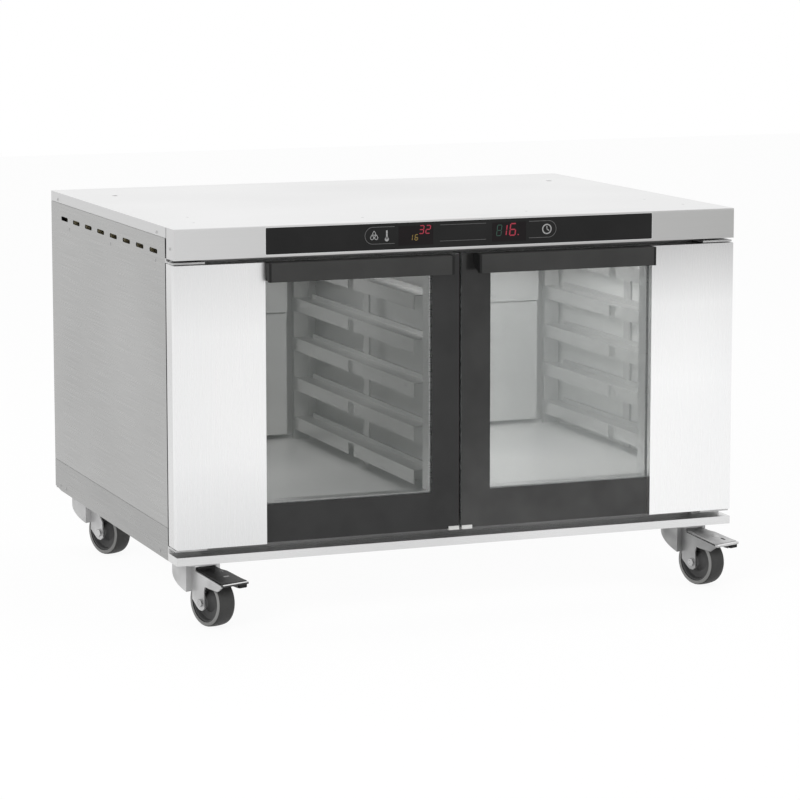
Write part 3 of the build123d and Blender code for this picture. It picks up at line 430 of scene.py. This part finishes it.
nodeLooks = {
    "base_tray": steel["rail"], "top_cover": steel["lid"], "rear_panel": steel["panel"],
    "left_side_panel": steel["panel"], "right_side_panel": steel["panel"],
    "left_skirt": steel["skirt"], "right_skirt": steel["skirt"],
    "front_frame": steel["frame"], "cavity_liner": steel["inner"], "duct_covers": steel["inner"],
    "column_divider": steel["inner"],
    "rack_frames": steel["rack"], "left_tray_rails": steel["rack"], "right_tray_rails": steel["rack"],
    "insulation": other["wool"], "heating_elements": other["heater"], "fan_motors": other["motor"],
    "left_fan": other["fan"], "right_fan": other["fan"], "control_overlay": other["strip"],
    "display_lenses": other["lens"], "control_board": other["board"], "hinge_brackets": steel["zinc"],
    "panel_screws": steel["screw"], "cable_gland": other["gland"], "caster_plates": steel["zinc"],
    "front_left_pedal": other["pedalBlack"], "front_right_pedal": steel["zinc"],
}
for side in sides:
    nodeLooks[side + "_door_cover"] = steel["door" + side.capitalize()]
    nodeLooks[side + "_door_frame"] = steel["rail"]
    nodeLooks[side + "_door_glass"] = other["glass" + side.capitalize()]
    nodeLooks[side + "_door_gasket"] = other["gasket"]
    nodeLooks[side + "_door_handle"] = other["handle"]
    nodeLooks[side + "_handle_caps"] = other["cap"]
    nodeLooks[side + "_glass_clip"] = other["clip"]
    nodeLooks[side + "_hinge_pins"] = steel["zinc"]
for caster in casters:
    # Painted shade: the front right fork takes the darker zinc copy.
    nodeLooks[caster + "_fork"] = steel["zincShade" if caster == "front_right" else "zinc"]
    nodeLooks[caster + "_axle"] = steel["screw"]
    nodeLooks[caster + "_hub"] = other["hub"]
    nodeLooks[caster + "_tyre"] = other["tread"]
for name, node in nodes.items():
    node.data.materials.clear()
    node.data.materials.append(nodeLooks[name])
print("finishes laid on the frame's nodes")

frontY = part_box("top_cover")[0].y
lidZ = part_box("top_cover")[1].z

# Wheels: half profiles as radius and place along the axle.
wheel = dict(
    tread=(
        (32.0, -15.4), (32.6, -15.4), (33.0, -14.7), (38.0, -14.7), (38.4, -14.2), (39.1, -12.6),
        (39.6, -9.0), (39.9, -4.0), (40.0, 0.0),
    ),
    sidewall=((32.1, 14.9), (32.2, 15.6), (32.8, 16.0), (36.4, 16.0), (37.3, 15.5), (37.7, 14.6), (32.1, 14.9)),
    hub=(
        (4.2, -18.4), (9.6, -18.4), (10.6, -17.6), (11.6, -13.0), (14.0, -9.0), (17.0, -6.4), (25.0, -5.8),
        (28.0, -7.0), (29.0, -12.6), (29.6, -13.8), (31.4, -14.0), (31.9, -13.4), (31.9, 0.0),
    ),
    tyreSteps=96,
    hubSteps=72,
)


# A half profile is mirrored over the wheel's middle plane and closed along the radius that it starts from.
def mirrored(profile):
    half = np.array(profile, float)
    inner, end = half[0]
    return np.concatenate([half, (half * [1.0, -1.0])[::-1][1:], [[inner, 0.0], [inner, end]]])


for caster in casters:
    spin, body = caster + "_wheel_spin", caster + "_wheel"
    centre, axis = pivots[spin], axes[spin]
    treadShape = turned(mirrored(wheel["tread"]), centre, axis, wheel["tyreSteps"])
    tread = makePiece(caster + "Tread", [treadShape], other["tread"], body)
    rings = [
        turned(np.array(wheel["sidewall"]) * [1.0, way], centre, axis, wheel["tyreSteps"]) for way in (1.0, -1.0)
    ]
    makePiece(caster + "Sidewalls", rings, other["sidewall"], body)
    hubShape = turned(mirrored(wheel["hub"]), centre, axis, wheel["hubSteps"])
    hub = makePiece(caster + "Hub", [hubShape], other["hub"], body)
    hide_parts(caster + "_tyre")
    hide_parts(caster + "_hub")
print("wheels turned")

# Brake pedals: places ahead of the axle and up from the floor, half widths at places along the pad, and for
# each small part its place, half sizes and power.
pedal = dict(
    tip=(61.0, 77.0), back=(-22.0, 91.5), lift=0.2, thick=1.2, margin=(1.0, 4.0),
    places=(-22.0, 0.0, 10.0, 45.0, 60.0), half=(17.0, 17.5, 22.0, 22.5, 24.5),
    marks=((31.0, -4.0, (1.7, 5.2), 5.0), (9.0, -12.0, (3.2, 1.5), 4.0)),
    boss=(27.0, -5.0, (4.5, 5.5), 2.4, 0.5),
    slot=(42.0, -7.5, (5.0, 2.6), 2.4, 0.05),
    lip=(60.2, 77.4, (-24.8, 24.8), (0.9, 1.1)),
    stop=(57.6, 71.6, (-22.0, -8.0), (3.3, 3.4), 4.0),
)


# Points of a caster's own frame: ahead along its heading from the axle, out sideways, up from the floor.
def fromAxle(caster, ahead, out, up):
    spin = caster + "_wheel_spin"
    axis = axes[spin]
    heading = np.cross(upward, axis)
    centre = pivots[spin] * [1.0, 1.0, 0.0]
    ahead, out, up = np.broadcast_arrays(ahead, out, up)
    return centre + (heading * ahead[..., None] + axis * out[..., None] + np.array(upward) * up[..., None]) * mm


# The height of the pad's underside: from the back's height to the tip's by the share of the way, plus a lift.
def padHeight(ahead):
    share = (ahead - pedal["back"][0]) / (pedal["tip"][0] - pedal["back"][0])
    return pedal["back"][1] + share * (pedal["tip"][1] - pedal["back"][1]) + pedal["lift"]


# The pad follows the pedal's slope; its half width grows smoothly to the tip, and its edge is rounded.
def pedalPad(caster):
    ahead = np.linspace(pedal["back"][0] + pedal["margin"][0], pedal["tip"][0] - pedal["margin"][1], 40)
    half = np.interp(ahead, pedal["places"], pedal["half"])
    across = np.array([-1.0, -0.99, -0.96, 0.96, 0.99, 1.0, 0.99, -0.99])
    height = np.array([0.4, 0.85, 1.0, 1.0, 0.85, 0.4, 0.0, 0.0]) * pedal["thick"]
    out, up = half[:, None] * across[None, :], padHeight(ahead)[:, None] + height[None, :]
    return capped(fromAxle(caster, ahead[:, None], out, up)), False, True


# A superellipse's wave: the sign of a wave times its size to the power 2 / p.
def bulge(wave, power):
    return np.sign(wave) * np.abs(wave) ** (2.0 / power)


# A rounded bar between two places across the caster, a superellipse in section.
def crossBar(caster, ahead, up, half, size, power=3.0):
    t = np.linspace(0.0, 2.0 * np.pi, 32, endpoint=False)
    out = np.array([half[0], half[0], half[0] + 0.6, half[1] - 0.6, half[1], half[1]])
    scale = np.array([0.0, 0.85, 1.0, 1.0, 0.85, 0.0])
    a = ahead + size[0] * bulge(np.cos(t), power)[None, :] * scale[:, None]
    z = up + size[1] * bulge(np.sin(t), power)[None, :] * scale[:, None]
    return fromAxle(caster, a, out[:, None], z), False, True


# A thin oval lying on the pad: half sizes times a superellipse's waves, the height following the pad's slope.
def padOval(caster, ahead, out, half, power, height=0.12):
    t = np.linspace(0.0, 2.0 * np.pi, 36, endpoint=False)
    scale = np.array([0.0, 0.94, 1.0, 1.0, 0.0])[:, None]
    lift = np.array([1.0, 1.0, 0.6, -1.0, -1.0])[:, None] * height
    a = ahead + half[0] * bulge(np.cos(t), power)[None, :] * scale
    sideways = out + half[1] * bulge(np.sin(t), power)[None, :] * scale
    return fromAxle(caster, a, sideways, padHeight(a) + pedal["thick"] + lift), False, True


for caster in casters[:2]:
    body = caster + "_brake"
    black = caster == "front_left"
    padLook, padSlot = (other["pedalBlack"], "pedal_black") if black else (steel["zinc"], "pedal_steel")
    makePiece(caster + "PedalPad", [pedalPad(caster)], padLook, body)
    if black:
        marks = [padOval(caster, *mark) for mark in pedal["marks"]]
        makePiece(caster + "PedalMarks", marks, other["white"], body)
    else:
        makePiece(caster + "PedalBoss", [padOval(caster, *pedal["boss"])], steel["rail"], body)
        # Painted shade: a thin black oval lying on the steel pad stands for the dark of the slot.
        makePiece(caster + "PedalSlotShade", [padOval(caster, *pedal["slot"])], other["cap"], body)
    makePiece(caster + "PedalLip", [crossBar(caster, *pedal["lip"])], steel["rail"], body)
    makePiece(caster + "PedalStop", [crossBar(caster, *pedal["stop"])], other["cap"], body)
print("pedals dressed")

# Handles: a channel with its top and front wall.
handle = dict(wall=3.0, bend=1.6, corner=0.6, height=30.0, reach=28.0, edge=0.4, rim=0.5)


# The channel's section, top and front wall with rounded bends, carried along X; near both ends the lower edge
# rises on a quarter circle, z = r - sqrt(r^2 - (r - d)^2), so the front's corners are round.
def channel(low, high, backY, topZ):
    corner, wall, bend, edge = handle["corner"], handle["wall"], handle["bend"], handle["edge"]
    d = corner * (1.0 - np.cos(np.linspace(0.0, np.pi / 2, 10)))
    x = np.concatenate([low + d, high - d[::-1]])
    inside = np.minimum(x - low, high - x)
    rise = corner - np.sqrt(np.maximum(corner**2 - np.maximum(corner - inside, 0.0) ** 2, 0.0))
    lower = topZ - handle["height"] + rise
    frontFace = backY - handle["reach"]
    turn = np.radians(np.linspace(90.0, 180.0, 7))
    bent = [(frontFace + bend + bend * math.cos(a), topZ - bend + bend * math.sin(a)) for a in turn]
    foot = [
        (frontFace, lower + handle["rim"]), (frontFace + edge, lower),
        (frontFace + wall - edge, lower), (frontFace + wall, lower + handle["rim"]),
    ]
    section = [(backY, topZ), *bent, *foot, (frontFace + wall, topZ - wall), (backY, topZ - wall)]
    grid = np.zeros((len(x), len(section), 3))
    for k, (y, z) in enumerate(section):
        grid[:, k, 0], grid[:, k, 1], grid[:, k, 2] = x, y, z
    return capped(grid) * mm, False, True


for side in sides:
    low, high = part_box(side + "_door_handle")
    bar = channel(low.x / mm, high.x / mm, high.y / mm, high.z / mm)
    bar = makePiece(side + "Handle", [bar], other["handle"], side + "_door")
    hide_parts(side + "_door_handle")
print("handles drawn")

# Black border printed on each glass: a wide foot, a narrow head and a bar at the middle of the cabinet.
border = dict(
    centre={"left": 46.8, "right": 49.6}, bottom=61.0, top=30.0, lift=0.12, thick=0.1, corner=0.05, edge=0.02,
)

for side, way in sides.items():
    low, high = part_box(side + "_door_glass")
    coverLow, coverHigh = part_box(side + "_door_cover")
    edge = coverLow.x if way > 0 else coverHigh.x
    innerEdge = low.x if way > 0 else high.x
    face = low.y / mm - border["lift"]
    xs = sorted((innerEdge / mm, edge / mm))
    zs = (low.z / mm, high.z / mm)
    middle = sorted((innerEdge / mm, innerEdge / mm + way * border["centre"][side]))
    window = (zs[0] + border["bottom"], zs[1] - border["top"])
    strips = [
        ((xs[0], zs[0]), (xs[1], window[0])),
        ((xs[0], window[1]), (xs[1], zs[1])),
        ((middle[0], window[0]), (middle[1], window[1])),
    ]
    plates = [
        plate((a[0], face, a[1]), (b[0], face + border["thick"], b[1]), border["corner"], border["edge"])
        for a, b in strips
    ]
    makePiece(side + "GlassPrint", plates, other["print" + side.capitalize()], side + "_door")
print("glass printed")

# Control strip: millimetres across from the middle and up from the floor.
strip = dict(
    line=0.9, thin=0.7, face=0.02, pillRadius=13.3, lean=0.12, gap=0.07,
    pills={"left": (-117.0, -153.5, 610.0), "right": (113.5, 147.5, 609.8)},
    drops=((-155.0, 606.5, 2.7), (-148.0, 606.5, 2.7), (-151.5, 613.0, 2.4)), dropLine=1.0,
    stem=((-130.2, 604.0), (-130.2, 610.0), (-130.2, 617.6)), stemLine=2.6,
    bulb=(-130.2, 603.6, 3.3, 3.4),
    clock=(144.7, 609.7, 7.4), clockLine=1.9, handLine=1.4,
    hands=(((144.7, 609.7), (144.7, 612.4), (144.7, 614.6)), ((144.7, 609.7), (146.6, 608.4), (148.4, 607.2))),
    rules=(623.0, 597.2), ruleX=(-40.0, 0.0, 39.0),
    point=(94.5, 602.6, 1.1, 1.1),
    seam=1.1, seamRadius=2.0, seamLine=0.7, seamHeight=0.12,
)
# Seven-segment figures: mark, place, width, height, colour and line.
figures = (
    ("3", -75.5, 610.5, 7.0, 12.5, "red", 1.5), ("2", -64.5, 610.5, 7.0, 12.5, "red", 1.5),
    ("1", -92.0, 600.5, 4.6, 8.6, "amber", 1.2), ("6", -83.0, 600.5, 4.6, 8.6, "amber", 1.2),
    ("8", 57.0, 602.0, 7.5, 17.0, "green", 1.1), ("1", 66.0, 602.0, 7.5, 17.0, "red", 1.7),
    ("6", 79.5, 602.0, 9.5, 18.5, "red", 2.0),
)
segmentPaths = {
    "a": ((0, 2), (1, 2)), "b": ((1, 2), (1, 1)), "c": ((1, 1), (1, 0)), "d": ((0, 0), (1, 0)),
    "e": ((0, 1), (0, 0)), "f": ((0, 2), (0, 1)), "g": ((0, 1), (1, 1)),
}
shapes = {"1": "bc", "2": "abged", "3": "abgcd", "6": "afgedc", "8": "abcdefg"}
face = frontY - strip["face"] * mm
marks = {"white": [], "grey": [], "red": [], "amber": [], "green": []}


# A pill, open towards the display: two straight legs joined by half a circle.
def pill(openX, turnX, z, way):
    radius, middleX = strip["pillRadius"], (openX + turnX) / 2
    bend = arc(turnX, z, radius, 90.0, 270.0 if way < 0 else -90.0, 32)
    upper = [(openX, z + radius), (middleX, z + radius)]
    lower = [(middleX, z - radius), (openX, z - radius)]
    return np.concatenate([upper, bend, lower])


# A drop: a circle whose top is drawn to a point, radius r (1 + 0.75 sin^7 t) along its axis.
def drop(x, z, radius):
    t = np.linspace(0.0, 2.0 * np.pi, 28, endpoint=False)
    stretch = 1.0 + 0.75 * np.maximum(np.sin(t), 0.0) ** 7
    return np.stack([x + radius * np.cos(t), z + radius * stretch * np.sin(t)], 1)


# A small raised disc on the strip, its rim sloping from an upper to a lower radius.
def dot(x, z, upper, lower, steps):
    return turned([(0.0, 0.15), (upper, 0.15), (lower, 0.0), (0.0, 0.0)], (x * mm, face, z * mm), outFront, steps)


# A seven-segment figure leaning a little to the right; each bar is a short stroke between two of its corners.
def figure(mark, x, z, width, height, colour, line):
    lean = strip["lean"]
    for name in shapes[mark]:
        (ax, az), (bx, bz) = segmentPaths[name]
        a = np.array([x + ax * width + lean * az * height / 2, z + az * height / 2])
        b = np.array([x + bx * width + lean * bz * height / 2, z + bz * height / 2])
        gap = (b - a) * strip["gap"]
        marks[colour].append(stroke([a + gap, (a + b) / 2, b - gap], line, face))


for side, way in sides.items():
    marks["grey"].append(stroke(pill(*strip["pills"][side], way), strip["line"], face))
for place in strip["drops"]:
    marks["white"].append(stroke(drop(*place), strip["dropLine"], face, closed=True))
marks["white"].append(stroke(strip["stem"], strip["stemLine"], face))
marks["white"].append(dot(*strip["bulb"], 24))
marks["white"].append(stroke(arc(*strip["clock"], 0.0, 345.0, 30), strip["clockLine"], face, closed=True))
for path in strip["hands"]:
    marks["white"].append(stroke(path, strip["handLine"], face))
for z in strip["rules"]:
    marks["grey"].append(stroke([(x, z) for x in strip["ruleX"]], strip["thin"], face))
for place in figures:
    figure(*place)
marks["red"].append(dot(*strip["point"], 16))
for name, colour, slot in (
    ("whiteMarks", "white", "panel_gloss"), ("greyMarks", "grey", "panel_gloss"),
    ("redDigits", "red", "display_lens"), ("amberDigits", "amber", "display_lens"),
    ("greenDigits", "green", "display_lens"),
):
    makePiece(name, marks[colour], other[colour], "cabinet")

# Bright cut edge of the fascia round the strip: a rounded rectangle, corner by corner.
low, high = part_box("control_overlay")
inset = strip["seam"] + strip["seamRadius"]
leftX, rightX = low.x / mm + inset, high.x / mm - inset
lowZ, topZ = low.z / mm + inset, high.z / mm - inset
corners = ((rightX, topZ, 0.0), (leftX, topZ, 90.0), (leftX, lowZ, 180.0), (rightX, lowZ, 270.0))
outline = [arc(x, z, strip["seamRadius"], start, start + 90.0, 8) for x, z, start in corners]
seam = stroke(np.concatenate(outline), strip["seamLine"], frontY, strip["seamHeight"], closed=True)
makePiece("stripEdge", [seam], steel["rail"], "cabinet")
print("control strip drawn")

# Screws: heads as radius and height, with places across and back on the lid, and back and up on both sides.
screw = dict(
    dome=((0.0, 0.45), (1.2, 0.45), (1.35, 1.15), (2.2, 1.05), (2.8, 0.6), (3.0, 0.0), (0.0, 0.0)),
    sunk=((0.0, -0.6), (1.2, -0.6), (1.35, -0.1), (2.8, -0.1), (2.95, -0.2), (1.5, -1.4), (0.0, -1.4)),
    lid=((-404.0, 174.0), (-420.0, 90.0), (-144.0, 72.0), (140.0, 73.0), (410.0, 194.0), (430.0, 88.0)),
    side=(
        (90.0, 619.5), (684.0, 619.5), (102.0, 574.0), (358.0, 574.0), (615.0, 574.0), (19.75, 600.0),
        (93.0, 113.0), (660.0, 113.0), (697.0, 113.0),
    ),
    sideX=480.0, steps=24, sharp=50.0,
)
heads = [
    turned(screw["sunk"], (across * mm, frontY + setback * mm, lidZ), upward, screw["steps"])
    for across, setback in screw["lid"]
]
heads += [
    turned(
        screw["dome"], (way * screw["sideX"] * mm, frontY + setback * mm, z * mm), (way, 0.0, 0.0), screw["steps"]
    )
    for way in sides.values() for setback, z in screw["side"]
]
heads = makePiece("screwHeads", heads, steel["screw"], "cabinet", screw["sharp"])
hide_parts("panel_screws")

# Cable gland: nut, dome and thread as radius and place outwards from the rear panel.
gland = dict(
    nut=((5.5, 0.0), (14.6, 0.0), (14.9, 0.5), (14.9, 6.4), (14.0, 7.2), (5.5, 7.2)),
    dome=(
        (5.5, 7.2), (11.6, 7.2), (12.0, 8.0), (12.0, 14.0), (10.6, 18.5), (8.4, 21.4), (6.4, 21.9),
        (5.5, 21.0), (5.5, 7.2),
    ),
    thread=((5.5, -11.0), (9.4, -11.0), (10.0, -10.2), (10.0, 0.0), (5.5, 0.0), (5.5, -11.0)),
)


# Six-sided nut: the radius at angle t is R cos 30 / cos(t mod 60 - 30).
def sixSides(t):
    return math.cos(math.pi / 6) / np.cos(np.mod(t, math.pi / 3) - math.pi / 6)


low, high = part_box("cable_gland")
centre = ((low.x + high.x) / 2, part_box("rear_panel")[1].y, (low.z + high.z) / 2)
nut = turned(gland["nut"], centre, outBack, 96, sixSides)[0]
nut = (np.concatenate([nut, nut[:1]]), False, True)
dome = turned(gland["dome"], centre, outBack, 64)
thread = turned(gland["thread"], centre, outBack, 48)
glandPiece = makePiece("cableGland", [nut, dome, thread], other["gland"], "cabinet")
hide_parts("cable_gland")
print("screws and gland turned")

# Studio: lamp places, aims, sizes and powers, and the levels of the world and the floor.
bodyAim, lidAim = (0.0, 0.0, 0.3), (0.0, 0.0, 0.6)
studio = dict(world=0.5, floor=0.92, share=0.88, glow=1.04, half=9.0, steps=13)
lamps = (
    ("keyLamp", (-3.2, -2.6, 2.4), bodyAim, 1.8, 58.0, False),
    ("fillLamp", (3.2, -2.4, 1.6), bodyAim, 2.0, 12.0, True),
    ("insideLampLeft", (-0.24, 0.02, 0.556), (-0.24, 0.02, 0.2), 0.3, 0.85, True),
    ("insideLampRight", (0.24, 0.02, 0.556), (0.24, 0.02, 0.2), 0.3, 1.45, True),
    ("topLamp", (0.4, 0.8, 3.2), lidAim, 2.6, 14.0, False),
)
lens = dict(
    length=141.33, sensor=36.0, shift=-0.075, end=60.0, place=(-1.8824, -4.59495, 1.1207),
    tilt=(math.pi / 2 - 0.13683, 0.00054, -0.36859),
)


# White where the lens, a glossy or a clear ray looks, and a plain grey level for everything else.
def paleWorld():
    world = bpy.data.worlds.new("studio")
    world.use_nodes = True
    tree = world.node_tree
    ground = tree.nodes["Background"]
    path = tree.nodes.new("ShaderNodeLightPath")
    seen = combined(tree, "MAXIMUM", path.outputs["Is Camera Ray"], path.outputs["Is Glossy Ray"])
    seen = combined(tree, "MAXIMUM", seen, path.outputs["Is Transmission Ray"])
    ground.inputs["Color"].default_value = (1.0, 1.0, 1.0, 1.0)
    tree.links.new(ranged(tree, seen, 0.0, 1.0, studio["world"], 1.0), ground.inputs["Strength"])
    bpy.context.scene.world = world


# The floor is a flat grid, white to the lens with a soft share of its own shading, so a faint shadow stays.
def paleFloor():
    steps = studio["steps"]
    line = np.linspace(-studio["half"], studio["half"], steps)
    x, y = np.meshgrid(line, line, indexing="ij")
    grid = np.stack([x, y, np.zeros_like(x)], -1)
    mesh = bpy.data.meshes.new("floor")
    mesh.from_pydata(grid.reshape(-1, 3).tolist(), [], gridQuads(steps, steps).tolist())
    floor = bpy.data.objects.new("floor", mesh)
    bpy.context.scene.collection.objects.link(floor)
    material, tree, shader = finish("floorPaint", (studio["floor"],) * 3, 0.0, 0.7)
    glow = tree.nodes.new("ShaderNodeEmission")
    glow.inputs["Color"].default_value = (1.0, 1.0, 1.0, 1.0)
    glow.inputs["Strength"].default_value = studio["glow"]
    mix = tree.nodes.new("ShaderNodeMixShader")
    path = tree.nodes.new("ShaderNodeLightPath")
    seen = combined(tree, "MAXIMUM", path.outputs["Is Camera Ray"], path.outputs["Is Glossy Ray"])
    tree.links.new(combined(tree, "MULTIPLY", seen, studio["share"]), mix.inputs["Fac"])
    tree.links.new(shader.outputs[0], mix.inputs[1])
    tree.links.new(glow.outputs[0], mix.inputs[2])
    tree.links.new(mix.outputs[0], tree.nodes["Material Output"].inputs["Surface"])
    mesh.materials.append(material)


# A square soft lamp aimed at a point; a lamp that gloss does not mirror leaves no white patch on the steel.
def softLamp(name, place, aim, size, power, mirroredInGloss):
    lamp = bpy.data.lights.new(name, "AREA")
    lamp.shape = "SQUARE"
    lamp.size = size
    lamp.energy = power
    holder = bpy.data.objects.new(name, lamp)
    holder.location = place
    holder.rotation_euler = (Vector(aim) - Vector(place)).to_track_quat("-Z", "Y").to_euler()
    holder.visible_glossy = mirroredInGloss
    bpy.context.scene.collection.objects.link(holder)


paleWorld()
paleFloor()
for lamp in lamps:
    softLamp(*lamp)

camera = bpy.data.cameras.new("lens")
camera.lens = lens["length"]
camera.sensor_width = lens["sensor"]
camera.shift_y = lens["shift"]
camera.clip_end = lens["end"]
holder = bpy.data.objects.new("lens", camera)
holder.location = (lens["place"][0], frontY + lens["place"][1], lens["place"][2])
holder.rotation_euler = lens["tilt"]
bpy.context.scene.collection.objects.link(holder)
bpy.context.scene.camera = holder
bpy.context.scene.view_settings.view_transform = "Standard"
print("studio lit")

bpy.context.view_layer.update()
